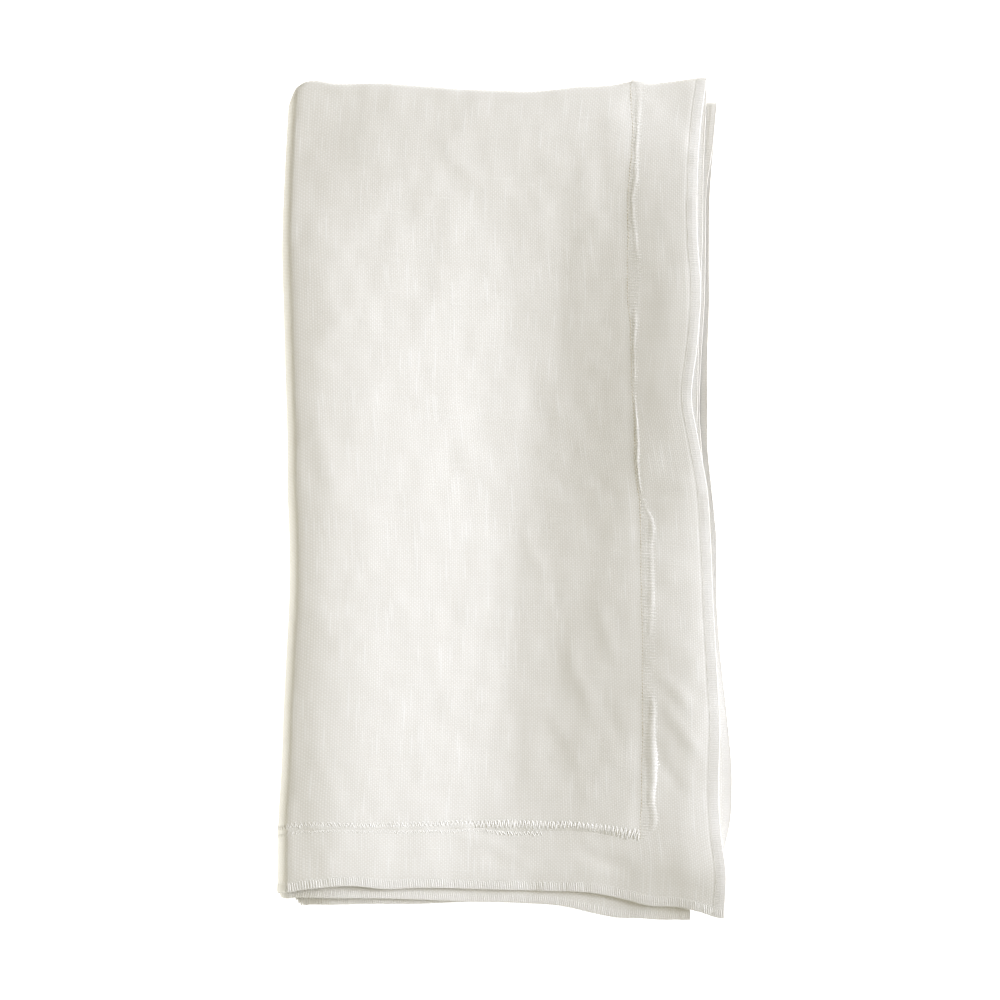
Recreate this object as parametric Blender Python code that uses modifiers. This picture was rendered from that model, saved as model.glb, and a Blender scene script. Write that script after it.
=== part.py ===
"""A square linen napkin, folded in half, in half again and in quarters.

The whole napkin is one sheet of cloth. It is drawn flat, in u across and v up, and three folds are
worked out one after the other, each as a sheet turned through half a circle:

  fold 1, across:  the top half goes behind, so the first crease is the top edge of the pack
  fold 2, down:    the cloth's centre line becomes the inner crease, on the right
  fold 3, down:    the quarter line becomes the outer crease, on the left, with the four hems on top

That gives eight layers. Level 7 is the one that shows on top, and level 0 the one it lies on.
Then the pack is eased to its outline, and gets its soft ridges and troughs.
Metres, +Z up. The origin is under the middle of the pack, on the surface that it lies on.
"""

import bmesh
import bpy
import numpy as np

# ---------------------------------------------------------------- named sizes
CUT_WIDE = 0.516          # the flat cloth, across (u)
CUT_TALL = 0.508          # the flat cloth, up (v)
THICK = 0.0010            # the cloth
PITCH = 0.0015            # from one layer's middle to the next
QUARTER = 0.1277          # from the centre line to where the outer fold starts
LOWER_PANEL = 0.1136      # length of the two lower panels after the outer fold
TUCK_IN = 0.0190          # the sewn tuck, in from the cut edge
TUCK_HIGH = 0.0005
TUCK_HALF = 0.0019
LEVELS = 7                # highest level, counted from 0
OUTER_R = 3.5 * PITCH     # the outer fold's radius on the outermost layer
NOMINAL = LEVELS * PITCH + THICK

# Right-hand edges of the layers, and the left fold, down the pack. Millimetres.
# y, left fold, hem of level 7, hem of 6, hem of 5, hem of 4, inner crease (levels 0 to 3)
SIDES = [
    (127.7, -66.5, 62.5, 62.5, 65.6, 65.6, 51.7),
    (113.8, -67.3, 60.5, 61.9, 64.3, 64.6, 51.9),
    (98.4, -68.0, 59.4, 61.2, 62.2, 63.4, 52.1),
    (79.9, -68.5, 59.2, 60.9, 61.9, 63.1, 52.3),
    (61.4, -68.0, 60.3, 60.3, 61.5, 63.1, 52.4),
    (46.0, -67.6, 59.2, 59.7, 60.6, 62.6, 52.5),
    (29.0, -67.1, 57.5, 59.4, 60.0, 62.6, 52.6),
    (18.2, -66.8, 59.4, 59.1, 60.6, 62.6, 52.7),
    (2.8, -66.8, 62.3, 59.1, 61.9, 64.0, 52.9),
    (-12.6, -66.2, 63.4, 59.1, 62.8, 65.4, 53.0),
    (-31.2, -66.2, 64.2, 59.1, 63.1, 65.4, 53.2),
    (-49.7, -67.1, 65.2, 58.8, 64.0, 66.6, 53.5),
    (-68.2, -68.0, 66.2, 58.5, 64.6, 68.6, 53.8),
    (-89.8, -68.8, 65.9, 58.2, 65.2, 70.2, 54.1),
    (-102.1, -69.6, 66.6, 57.8, 65.2, 69.6, 54.3),
    (-112.9, -69.7, 68.0, 57.5, 64.6, 67.3, 54.5),
    (-126.8, -69.9, 67.4, 56.9, 64.0, 65.2, 54.8),
]
# Top creases across the pack: x, levels 7 and 6, levels 5 and 4, levels 3 to 0
TOPS = [
    (-66.8, 125.0, 125.0, 125.0),
    (-65.2, 125.9, 125.9, 125.9),
    (-62.4, 127.3, 126.3, 126.3),
    (-58.3, 128.8, 126.0, 126.0),
    (-53.6, 128.0, 125.2, 125.2),
    (-38.4, 128.0, 124.5, 124.6),
    (-26.1, 127.2, 123.9, 124.1),
    (-13.7, 126.3, 123.3, 123.6),
    (1.7, 125.7, 122.9, 123.5),
    (10.0, 125.5, 122.7, 123.7),
    (18.0, 126.1, 122.7, 123.9),
    (24.0, 126.8, 122.8, 124.4),
    (32.0, 127.2, 122.8, 124.6),
    (37.0, 127.6, 122.8, 124.6),
    (39.6, 128.2, 122.8, 124.6),
    (44.0, 128.7, 122.8, 124.8),
    (47.0, 128.0, 122.6, 125.0),
    (52.0, 128.3, 122.4, 125.0),
    (62.5, 129.6, 122.2, 125.0),
]
# Bottom hems across the pack: x, level 7, level 6, level 5, level 4, levels 3 to 0
HEMS = [
    (-69.9, -120.9, -122.8, -122.7, -122.6, -122.5),
    (-62.2, -120.5, -122.7, -122.7, -122.6, -122.5),
    (-61.0, -120.2, -122.6, -124.4, -123.2, -122.6),
    (-56.9, -119.7, -122.6, -124.8, -123.4, -122.7),
    (-46.1, -118.9, -122.8, -124.8, -123.6, -122.8),
    (-35.3, -120.0, -122.9, -124.7, -123.4, -122.9),
    (-26.1, -119.7, -123.2, -124.8, -123.0, -123.0),
    (-7.6, -120.3, -124.0, -124.2, -122.4, -122.6),
    (11.0, -120.8, -124.5, -124.3, -122.8, -122.8),
    (26.4, -121.5, -125.6, -124.9, -123.6, -123.0),
    (35.6, -123.4, -127.6, -125.2, -124.0, -123.2),
    (42.4, -125.2, -128.9, -125.3, -124.2, -123.2),
    (51.1, -125.6, -129.2, -125.2, -124.2, -123.0),
    (57.2, -127.0, -129.6, -124.8, -124.0, -123.0),
    (63.4, -129.0, -129.6, -124.0, -123.6, -123.0),
    (68.0, -129.0, -129.6, -123.7, -123.0, -123.0),
]
# Soft ridges and troughs of the top: x, y, half width, half length, turn in degrees, height, and how
# sharply its ends stop. Millimetres.
RELIEF = [
    (-62, -38, 34, 126, 0, 4.7, 4),      # the plump roll along the outer fold
    (-62, 110, 14, 18, 0, -1.0, 2),      # pressed flat toward the corner of the creases
    (5, -2, 26, 89, -3, -2.6, 4),        # the long trough down the middle
    (60, 52, 22, 56, 0, 2.2, 6),         # the border above the old packing crease
    (60, -58, 18, 34, 0, 1.1, 2),        # and below it
    (68, -116, 23, 15, 0, 2.9, 2),       # the lower corner curls up
    (50, 126, 18, 14, 0, -0.8, 2),       # the upper one lies lower
    (-8, 112, 40, 14, 0, 0.3, 2),        # the top crease is a little thicker
    (-68, -10, 8, 126, 0, -0.8, 4),      # the outer fold itself is rounder than the roll behind it
]
# The hems reach past the inner crease and lie closer there: x where it starts, x where it ends,
# lift of level 4, and how much less each level above it is lifted
GATHER = (55.0, 68.0, 0.50, 0.20)


# ---------------------------------------------------------------- small helpers
def smooth(t):
    t = np.clip(t, 0.0, 1.0)
    return t * t * (3.0 - 2.0 * t)


def curve(table, column, at):
    """A smooth line through one column of a table, at the places 'at' of its first column, in mm."""
    rows = np.array(sorted(table), float)
    x, y = rows[:, 0], rows[:, column]
    slope = np.gradient(y, x)
    at = np.clip(at, x[0], x[-1])
    i = np.clip(np.searchsorted(x, at) - 1, 0, len(x) - 2)
    h = x[i + 1] - x[i]
    t = (at - x[i]) / h
    return (
        y[i] * (1 + 2 * t) * (1 - t) ** 2
        + y[i + 1] * t * t * (3 - 2 * t)
        + h * (slope[i] * t * (1 - t) ** 2 + slope[i + 1] * t * t * (t - 1))
    )


def between(values, level):
    """One of a list of arrays, by level, with a straight change from each level to the next."""
    low = np.clip(np.floor(level).astype(int), 0, len(values) - 2)
    share = np.clip(level - low, 0.0, 1.0)
    stack = np.stack(values)
    pick = np.arange(stack.shape[1])
    return stack[low, pick] * (1 - share) + stack[low + 1, pick] * share


def half_turn(s, radius):
    """A sheet turned through half a circle. s is the length past the start of the turn.
    Gives how far it reaches past the axis, how far it has come back, and its height, from +radius to -radius."""
    angle = np.clip(s / radius, 0.0, np.pi)
    return radius * np.sin(angle), np.maximum(s - np.pi * radius, 0.0), radius * np.cos(angle)


# ---------------------------------------------------------------- the three folds
def folded(u, v):
    """x from the outer fold's leftmost point, y from the bottom hem, the level from 0 to 7, the x of the
    middle between this layer and the one that the first crease joins it to, and how many layers out
    from the middle of the pack it is."""
    # fold 1: v above 0 goes behind, about a line at the top
    r1 = PITCH / 2
    turn = np.pi * r1
    over, back, z1 = half_turn(v + turn / 2, r1)
    half = CUT_TALL / 2 - turn / 2
    y = np.where(v < -turn / 2, v + turn / 2 + half, half - back + over)

    # fold 2: the two halves lie on each other, hems at the right, inner crease at x = 0
    front = u >= 0                               # this half ends on the outside
    r2 = PITCH + z1
    over, back, _ = half_turn(np.abs(u) + np.pi * r2 / 2, r2)
    z2 = np.where(front, 1.0, -1.0) * np.where(
        np.abs(u) < np.pi * r2 / 2, r2 * np.sin(np.clip(np.abs(u) / r2, 0, np.pi / 2)), r2
    )
    along = np.where(back > 0, np.abs(u) - np.pi * r2 / 2, -r2 * np.cos(np.clip(np.abs(u) / r2, 0, np.pi / 2)))

    # fold 3: what lies left of the quarter line goes under
    r3 = 2 * PITCH + z2
    s = QUARTER - along
    over, back, z3 = half_turn(np.maximum(s, 0.0), r3)
    shrink = LOWER_PANEL / (QUARTER - np.pi * r3)
    x = np.where(s < 0, -s, np.where(back > 0, back * shrink, -over))
    pair = np.where(front, 3 * PITCH, PITCH) / r3
    x_pair = np.where(s < 0, -s, np.where(back > 0, back * shrink, -over * pair))
    return x + OUTER_R, y, z3 / PITCH + 3.5, x_pair + OUTER_R, r3 / PITCH


def relief(x, y):
    """Height of the top over its plain height, in mm, from the table of ridges and troughs."""
    total = np.zeros_like(x)
    for cx, cy, wide, tall, turn, high, ends in RELIEF:
        a = np.radians(turn)
        p = (x - cx) * np.cos(a) + (y - cy) * np.sin(a)
        q = (y - cy) * np.cos(a) - (x - cx) * np.sin(a)
        total += high * np.exp(-((p / wide) ** 2) - (q / tall) ** ends)
    return total


def tuck_shape(u, v, x, y, level):
    """Height of the sewn tuck, a low ridge round the cloth, where it shows on the top layer."""
    edge_u, edge_v = CUT_WIDE / 2 - TUCK_IN, -CUT_TALL / 2 + TUCK_IN
    side = np.exp(-(((u - edge_u) / TUCK_HALF * 1.3) ** 2)) * smooth((v - edge_v) / 0.003 + 1)
    foot = np.exp(-(((v - edge_v) / TUCK_HALF * 1.3) ** 2)) * smooth((edge_u - u) / 0.003 + 1)
    shows = smooth((level - 6.6) / 0.3) * (v < 0) * (u > 0)
    return 1000 * TUCK_HIGH * np.maximum(side, foot) * shows


# Plain reach of the layers to the right, before the outline: levels 0 to 3, and 4 to 7 one by one
REACH_LOW = LOWER_PANEL + 1.5 * PITCH + OUTER_R
REACH_HEM = CUT_WIDE / 2 - QUARTER + OUTER_R
REACH = [REACH_HEM - k * np.pi * PITCH for k in (0.75, 0.25, 0.25, 0.75)]
TALL = CUT_TALL / 2 - np.pi * PITCH / 4 + PITCH / 2


def by_layer(lower, upper, level, nest):
    """A value that the four lower layers share and that each of the four upper layers has its own of,
    joined through the outer turn; nest counts the layers out from the middle of the pack."""
    share = np.clip(0.5 + 0.5 * (level - 3.5) / nest, 0.0, 1.0)
    return lower + (between(upper, nest - 0.5) - lower) * share


def pack(u, v):
    """Where the middle of the cloth lies in the folded napkin, in metres, for arrays of u and v."""
    x0, y0, level, x_pair, nest = folded(u, v)
    yn = (y0 / TALL - 0.5) * 253.0                  # a first y, in mm, to read the tables with
    xn = x_pair * 1000 - 67.5
    left = curve(SIDES, 1, yn)
    hems = [(curve(SIDES, c, yn) - left) / (1000 * r) for c, r in zip((5, 4, 3, 2), REACH)]
    low = (curve(SIDES, 6, yn) - left) / (1000 * REACH_LOW)
    x = left + 1000 * x0 * by_layer(low, hems, level, nest)

    top = by_layer(curve(TOPS, 3, xn), [curve(TOPS, c, xn) for c in (2, 2, 1, 1)], level, nest)
    foot = by_layer(curve(HEMS, 5, xn), [curve(HEMS, c, xn) for c in (4, 3, 2, 1)], level, nest)
    y = foot + (top - foot) * y0 / TALL

    stretch = 1 + relief(x, y) / (1000 * NOMINAL)
    high = level * PITCH * 1000 * stretch
    out = smooth((x - GATHER[0]) / (GATHER[1] - GATHER[0])) * smooth(level - 3.0)
    high = high + out * (GATHER[2] - GATHER[3] * np.maximum(level - 4.0, 0.0))
    high = high + tuck_shape(u, v, x, y, level)
    return np.stack([x, y, high + 500 * THICK], axis=-1) / 1000


# ---------------------------------------------------------------- where the sheet is cut into facets
def run(*parts):
    """Joins (start, end, steps) into one line of places, each part's start being the last one's end."""
    line = [np.array([parts[0][0]])] + [np.linspace(a, b, n + 1)[1:] for a, b, n in parts]
    return np.concatenate(line)


def across(v):
    """Places across the cloth at height v. Every row has equally many, and they come to the same
    angle in each turn and the same place along each layer, so the facets of the layers stay parallel."""
    r1 = PITCH / 2
    r2 = PITCH + half_turn(v + np.pi * r1 / 2, r1)[2]
    start = QUARTER + np.pi * r2 / 2                     # the outer fold starts here
    tuck = CUT_WIDE / 2 - TUCK_IN - QUARTER - 0.75 * np.pi * PITCH
    hem = start + run((0, tuck - 0.0025, 7), (tuck - 0.0025, tuck + 0.0025, 4), (tuck + 0.0025, CUT_WIDE / 2 - start, 2))
    lower = np.append(np.linspace(0, tuck - 0.0025, 8), LOWER_PANEL) / LOWER_PANEL
    halves = []
    for r3, steps in ((2 * PITCH - r2, 6), (2 * PITCH + r2, 8)):
        end = start - np.pi * r3
        panel = end - lower[::-1] * (QUARTER - np.pi * r3)
        halves.append(np.concatenate([panel, np.linspace(end, start, steps + 1)[1:], hem[1:]]))
    crease = np.linspace(-np.pi * r2 / 2, np.pi * r2 / 2, 9)[1:-1]
    return np.concatenate([-halves[0][::-1], crease, halves[1]])


def upward():
    """Places up the cloth: the tuck near each hem, and the first crease in the middle."""
    turn = np.pi * PITCH / 4
    tuck = CUT_TALL / 2 - TUCK_IN
    half = run((turn, tuck - 0.0025, 9), (tuck - 0.0025, tuck + 0.0025, 4), (tuck + 0.0025, CUT_TALL / 2, 2))
    return np.concatenate([-half[::-1], np.linspace(-turn, turn, 5)[1:-1], half])


# ---------------------------------------------------------------- the solid
def cloth_mesh(name):
    vs = upward()
    us = np.array([across(v) for v in vs])
    rows, columns = us.shape
    grid = bmesh.new()
    bmesh.ops.create_grid(grid, x_segments=columns - 1, y_segments=rows - 1, size=1.0)
    flat = np.array([p.co for p in grid.verts])
    column = np.rint((flat[:, 0] + 1) / 2 * (columns - 1)).astype(int)
    row = np.rint((flat[:, 1] + 1) / 2 * (rows - 1)).astype(int)
    place = pack(us[row, column], vs[row])
    place[:, :2] -= (place.min(axis=0) + place.max(axis=0))[:2] / 2
    for point, at in zip(grid.verts, place):
        point.co = at

    # Each four-sided facet gets its diagonal the same way round in every layer, so layers stay parallel.
    middle_column = np.argmin(np.abs(us[0]))
    first_turn = int(np.searchsorted(us[0], -QUARTER))
    last_turn = int(np.searchsorted(us[0], QUARTER - np.pi * OUTER_R / 2))
    grid.verts.ensure_lookup_table()
    for face in list(grid.faces):
        index = [p.index for p in face.verts]
        c, r = column[index].mean(), row[index].mean()
        turned = (c < middle_column) ^ (first_turn < c < last_turn) ^ (2 * r > rows - 1)
        order = sorted(face.verts, key=lambda p: (column[p.index], row[p.index]))
        pair = (order[1], order[2]) if turned else (order[0], order[3])
        bmesh.utils.face_split(face, *pair)
    mesh = bpy.data.meshes.new(name)
    grid.to_mesh(mesh)
    grid.free()
    return mesh


def linen():
    material = bpy.data.materials.new("washed_linen")
    material.use_nodes = True
    shader = material.node_tree.nodes["Principled BSDF"]
    shader.inputs["Base Color"].default_value = (0.86, 0.84, 0.79, 1.0)
    shader.inputs["Roughness"].default_value = 0.92
    shader.inputs["Metallic"].default_value = 0.0
    return material


def main():
    for old in list(bpy.data.objects):
        bpy.data.objects.remove(old, do_unlink=True)
    collection = bpy.data.collections.new("folded_cloth_napkin")
    bpy.context.scene.collection.children.link(collection)

    cloth = bpy.data.objects.new("folded_napkin", cloth_mesh("folded_napkin"))
    collection.objects.link(cloth)
    cloth.data.materials.append(linen())
    cloth.data.shade_smooth()
    cloth.data.set_sharp_from_angle(angle=np.radians(50))

    body = cloth.modifiers.new("cloth_thickness", "SOLIDIFY")
    body.thickness = THICK
    body.offset = 0.0
    body.use_even_offset = True
    body.use_rim = True


main()
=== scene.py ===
"""The folded linen napkin: one thin cloth on its fold lines, its overlocked hems stitch by stitch,
the sewn tuck that runs inside them, and the camera and light of the view from above.

Sizes are in metres unless a table says millimetres. The cloth is described flat, in u across and
v up, and folded by the same three half turns as the solid that carries it.
"""

import bpy
import numpy as np
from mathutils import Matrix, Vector


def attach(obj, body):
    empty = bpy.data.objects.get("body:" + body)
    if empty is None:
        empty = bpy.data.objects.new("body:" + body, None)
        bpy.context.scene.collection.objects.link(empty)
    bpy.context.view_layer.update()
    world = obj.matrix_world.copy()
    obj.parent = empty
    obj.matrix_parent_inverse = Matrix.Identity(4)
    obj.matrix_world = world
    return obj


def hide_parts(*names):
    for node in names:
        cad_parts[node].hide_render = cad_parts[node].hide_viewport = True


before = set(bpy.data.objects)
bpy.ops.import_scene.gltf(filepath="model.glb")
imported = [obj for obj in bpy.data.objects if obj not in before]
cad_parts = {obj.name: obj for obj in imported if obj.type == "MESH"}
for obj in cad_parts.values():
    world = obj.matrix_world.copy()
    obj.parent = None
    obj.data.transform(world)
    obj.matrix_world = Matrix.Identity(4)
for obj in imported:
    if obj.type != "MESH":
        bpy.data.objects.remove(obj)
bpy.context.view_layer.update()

# ---------------------------------------------------------------- named sizes
CUT_WIDE = 0.516
CUT_TALL = 0.508
CLOTH = 0.00062           # thickness of the linen
PITCH = 0.0015            # from one layer's middle to the next
QUARTER = 0.1277          # from the centre line to where the outer fold starts
LOWER_PANEL = 0.1136
TUCK_IN = 0.0190
OUTER_R = 3.5 * PITCH
FLOOR_GAP = 0.0005        # the lowest layer's middle over the surface

HEM_WIDE = 0.0029         # the overlocked band
HEM_STEP_SIDE = 0.00052   # from one hem stitch to the next, along the sides
HEM_STEP_FOOT = 0.00064   # and along the top and bottom
HEM_FLAT = 0.000060       # half the height of a stitch
GROOVE = 0.000035         # how deep the needle line pulls the cloth in
TUCK_STEP_DOWN = 0.00100  # from one stitch to the next, on the tuck that runs up the napkin
TUCK_STEP_OVER = 0.00130  # and on the one across
TUCK_GROOVE = 0.08        # millimetres that the cloth dips beside the tuck

# Right-hand edges of the layers, and the left fold, down the pack. Millimetres.
# y, left fold, hem of level 7, hem of 6, hem of 5, hem of 4, inner crease (levels 0 to 3)
SIDES = [
    (127.7, -66.5, 62.5, 62.5, 65.6, 65.6, 51.7),
    (113.8, -67.3, 60.5, 61.9, 64.3, 64.6, 51.9),
    (98.4, -68.0, 59.4, 61.2, 62.2, 63.4, 52.1),
    (79.9, -68.5, 59.2, 60.9, 61.9, 63.1, 52.3),
    (61.4, -68.0, 60.3, 60.3, 61.5, 63.1, 52.4),
    (46.0, -67.6, 59.2, 59.7, 60.6, 62.6, 52.5),
    (29.0, -67.1, 57.5, 59.4, 60.0, 62.6, 52.6),
    (18.2, -66.8, 59.4, 59.1, 60.6, 62.6, 52.7),
    (2.8, -66.8, 62.3, 59.1, 61.9, 64.0, 52.9),
    (-12.6, -66.2, 63.4, 59.1, 62.8, 65.4, 53.0),
    (-31.2, -66.2, 64.2, 59.1, 63.1, 65.4, 53.2),
    (-49.7, -67.1, 65.2, 58.8, 64.0, 66.6, 53.5),
    (-68.2, -68.0, 66.2, 58.5, 64.6, 68.6, 53.8),
    (-89.8, -68.8, 65.9, 58.2, 65.2, 70.2, 54.1),
    (-102.1, -69.6, 66.6, 57.8, 65.2, 69.6, 54.3),
    (-112.9, -69.7, 68.0, 57.5, 64.6, 67.3, 54.5),
    (-126.8, -69.9, 67.4, 56.9, 64.0, 65.2, 54.8),
]
# Top creases across the pack: x, levels 7 and 6, levels 5 and 4, levels 3 to 0
TOPS = [
    (-67.4, 121.0, 121.0, 121.0),
    (-66.4, 123.4, 123.4, 123.4),
    (-65.4, 125.8, 125.4, 125.4),
    (-63.6, 127.6, 126.4, 126.4),
    (-58.3, 128.8, 126.0, 126.0),
    (-53.6, 128.0, 125.2, 125.2),
    (-38.4, 128.0, 124.5, 124.6),
    (-26.1, 127.2, 123.9, 124.1),
    (-13.7, 126.3, 123.3, 123.6),
    (1.7, 125.7, 122.9, 123.5),
    (10.0, 125.5, 122.7, 123.7),
    (18.0, 126.1, 122.7, 123.9),
    (24.0, 126.8, 122.8, 124.4),
    (32.0, 127.2, 122.8, 124.6),
    (37.0, 127.6, 122.8, 124.6),
    (39.6, 128.2, 122.8, 124.6),
    (44.0, 128.7, 122.8, 124.8),
    (47.0, 128.0, 122.6, 125.0),
    (52.0, 128.3, 122.4, 125.0),
    (62.5, 129.6, 122.2, 125.0),
]
# Bottom hems across the pack: x, level 7, level 6, level 5, level 4, levels 3 to 0
HEMS = [
    (-69.9, -120.9, -122.8, -122.7, -122.6, -122.5),
    (-62.2, -120.5, -122.7, -122.7, -122.6, -122.5),
    (-61.0, -120.2, -122.6, -124.4, -123.2, -122.6),
    (-56.9, -119.7, -122.6, -124.8, -123.4, -122.7),
    (-46.1, -118.9, -122.8, -124.8, -123.6, -122.8),
    (-35.3, -120.0, -122.9, -124.7, -123.4, -122.9),
    (-26.1, -119.7, -123.2, -124.8, -123.0, -123.0),
    (-7.6, -120.3, -124.0, -124.2, -122.4, -122.6),
    (11.0, -120.8, -124.5, -124.3, -122.8, -122.8),
    (26.4, -121.5, -125.6, -124.9, -123.6, -123.0),
    (35.6, -123.4, -127.6, -125.2, -124.0, -123.2),
    (42.4, -125.2, -128.9, -125.3, -124.2, -123.2),
    (51.1, -125.6, -129.2, -125.2, -124.2, -123.0),
    (57.2, -127.0, -129.6, -124.8, -124.0, -123.0),
    (63.4, -129.0, -129.6, -124.0, -123.6, -123.0),
    (68.0, -129.0, -129.6, -123.7, -123.0, -123.0),
]
# Soft ridges and troughs of the top: x, y, half width, half length, turn in degrees, height, and how
# sharply its ends stop. Millimetres.
RELIEF = [
    (-62, -38, 34, 126, 0, 5.2, 4),      # the plump roll along the outer fold
    (-62, 110, 14, 18, 0, -1.0, 2),      # pressed flat toward the corner of the creases
    (6, -16, 26, 102, -3, -3.1, 4),        # the long trough down the middle
    (60, 52, 22, 56, 0, 2.7, 6),         # the border above the old packing crease
    (60, -58, 18, 34, 0, 1.5, 2),        # and below it
    (68, -116, 23, 15, 0, 3.3, 2),       # the lower corner curls up
    (50, 126, 18, 14, 0, -0.8, 2),       # the upper one lies lower
    (-8, 112, 40, 14, 0, 0.3, 2),        # the top crease is a little thicker
    (-67, -10, 7.5, 126, 0, -0.75, 4),     # the outer fold itself is rounder than the roll behind it
]
# The hems reach past the inner crease and lie closer there: x where it starts, x where it ends,
# lift of level 4, and how much less each level above it is lifted
GATHER = (55.0, 66.0, 1.25, 0.54)
FOOT_GATHER = (-113.0, -121.0)   # the same at the foot: y where it starts, y where it ends
FLATTEN = (0.62, 3.2)            # the outer fold is flatter than round: its depth as a share, and how many
                                 # radii in the cloth is even again
DROOP = (63.0, 72.0, 0.7)        # past the others level 4 sinks: x where it starts, x where it ends, how far
# Small creases of the top layers only: x and y of both ends, half width, height. Millimetres.
CREASES = [
    (14.0, 1.6, 64.0, 1.0, 0.9, -0.08),       # the old packing crease
    (6.0, -6.0, 15.0, -32.0, 1.8, 0.14),
    (20.0, -42.0, 28.0, -72.0, 1.8, 0.13),
    (12.0, -22.0, 20.0, -42.0, 1.6, -0.10),
    (27.0, -28.0, 35.0, -54.0, 1.8, 0.12),
    (14.0, -64.0, 25.0, -86.0, 1.6, 0.11),
    (30.0, -58.0, 37.0, -80.0, 1.5, -0.11),
    (46.0, -52.0, 58.0, -66.0, 1.6, 0.24),
    (47.0, -62.0, 62.0, -80.0, 1.6, 0.24),
    (45.0, -74.0, 57.0, -92.0, 1.5, -0.21),
    (43.5, 104.0, 47.0, 97.0, 1.2, 0.21),
    (47.0, 92.0, 55.0, 84.0, 1.6, -0.15),
    (-20.0, 112.0, -8.0, 96.0, 2.2, 0.12),
    (-2.0, 106.0, 8.0, 88.0, 2.2, -0.11),
    (-58.0, 30.0, -52.0, -4.0, 2.0, 0.12),
    (-60.0, -70.0, -50.0, -98.0, 2.0, 0.12),
    (-14.0, -104.0, 10.0, -114.0, 1.6, 0.18),
    (20.0, -106.0, 40.0, -116.0, 1.6, -0.18),
]


# ---------------------------------------------------------------- small helpers
def smooth(t):
    t = np.clip(t, 0.0, 1.0)
    return t * t * (3.0 - 2.0 * t)


def curve(table, column, at):
    """A smooth line through one column of a table, at the places 'at' of its first column."""
    rows = np.array(sorted(table), float)
    x, y = rows[:, 0], rows[:, column]
    slope = np.gradient(y, x)
    at = np.clip(at, x[0], x[-1])
    i = np.clip(np.searchsorted(x, at) - 1, 0, len(x) - 2)
    h = x[i + 1] - x[i]
    t = (at - x[i]) / h
    return (
        y[i] * (1 + 2 * t) * (1 - t) ** 2
        + y[i + 1] * t * t * (3 - 2 * t)
        + h * (slope[i] * t * (1 - t) ** 2 + slope[i + 1] * t * t * (t - 1))
    )


def between(values, level):
    low = np.clip(np.floor(level).astype(int), 0, len(values) - 2)
    share = np.clip(level - low, 0.0, 1.0)
    stack = np.stack(values)
    pick = np.arange(stack.shape[1])
    return stack[low, pick] * (1 - share) + stack[low + 1, pick] * share


LATTICE = np.random.default_rng(41).uniform(-1, 1, (8, 128, 128))


def noise(x, y, layer=0):
    """Smooth random values from -1 to 1 that change over a distance of about 1."""
    i, j = np.floor(x).astype(int), np.floor(y).astype(int)
    a, b = x - i, y - j
    a, b = a * a * a * (a * (a * 6 - 15) + 10), b * b * b * (b * (b * 6 - 15) + 10)
    grid = LATTICE[layer]
    at = lambda p, q: grid[(i + p) % 128, (j + q) % 128]
    return (at(0, 0) * (1 - a) + at(1, 0) * a) * (1 - b) + (at(0, 1) * (1 - a) + at(1, 1) * a) * b


def half_turn(s, radius):
    angle = np.clip(s / radius, 0.0, np.pi)
    return radius * np.sin(angle), np.maximum(s - np.pi * radius, 0.0), radius * np.cos(angle)


# ---------------------------------------------------------------- the three folds
def folded(u, v):
    r1 = PITCH / 2
    turn = np.pi * r1
    over, back, z1 = half_turn(v + turn / 2, r1)
    half = CUT_TALL / 2 - turn / 2
    y = np.where(v < -turn / 2, v + turn / 2 + half, half - back + over)

    front = u >= 0
    r2 = PITCH + z1
    over, back, _ = half_turn(np.abs(u) + np.pi * r2 / 2, r2)
    bend = np.clip(np.abs(u) / r2, 0, np.pi / 2)
    z2 = np.where(front, 1.0, -1.0) * r2 * np.sin(bend)
    along = np.where(back > 0, np.abs(u) - np.pi * r2 / 2, -r2 * np.cos(bend))

    r3 = 2 * PITCH + z2
    s = QUARTER - along
    over, back, z3 = half_turn(np.maximum(s, 0.0), r3)
    shrink = LOWER_PANEL / (QUARTER - np.pi * r3)
    x = np.where(s < 0, -s, np.where(back > 0, back * shrink, -over))
    pair = np.where(front, 3 * PITCH, PITCH) / r3
    x_pair = np.where(s < 0, -s, np.where(back > 0, back * shrink, -over * pair))
    return x + OUTER_R, y, z3 / PITCH + 3.5, x_pair + OUTER_R, r3 / PITCH


def relief(x, y):
    total = np.zeros_like(x)
    for cx, cy, wide, tall, turn, high, ends in RELIEF:
        a = np.radians(turn)
        p = (x - cx) * np.cos(a) + (y - cy) * np.sin(a)
        q = (y - cy) * np.cos(a) - (x - cx) * np.sin(a)
        total += high * np.exp(-((p / wide) ** 2) - (q / tall) ** ends)
    return total


def small_creases(x, y):
    total = np.zeros_like(x)
    for x1, y1, x2, y2, wide, high in CREASES:
        length = np.hypot(x2 - x1, y2 - y1)
        cx, cy = (x2 - x1) / length, (y2 - y1) / length
        along = (x - x1) * cx + (y - y1) * cy
        across = (y - y1) * cx - (x - x1) * cy + 1.2 * noise(along / 9.0, y1 * 0 + along * 0 + x1, 5)
        ends = smooth(along / 6.0) * smooth((length - along) / 6.0)
        total += high * ends * np.exp(-((across / wide) ** 2))
    return total


REACH_LOW = LOWER_PANEL + 1.5 * PITCH + OUTER_R
REACH_HEM = CUT_WIDE / 2 - QUARTER + OUTER_R
REACH = [REACH_HEM - k * np.pi * PITCH for k in (0.75, 0.25, 0.25, 0.75)]
TALL = CUT_TALL / 2 - np.pi * PITCH / 4 + PITCH / 2


def by_layer(lower, upper, level, nest):
    """A value that the four lower layers share and that each of the four upper layers has its own of,
    joined through the outer turn; nest counts the layers out from the middle of the pack."""
    share = np.clip(0.5 + 0.5 * (level - 3.5) / nest, 0.0, 1.0)
    return lower + (between(upper, nest - 0.5) - lower) * share


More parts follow.
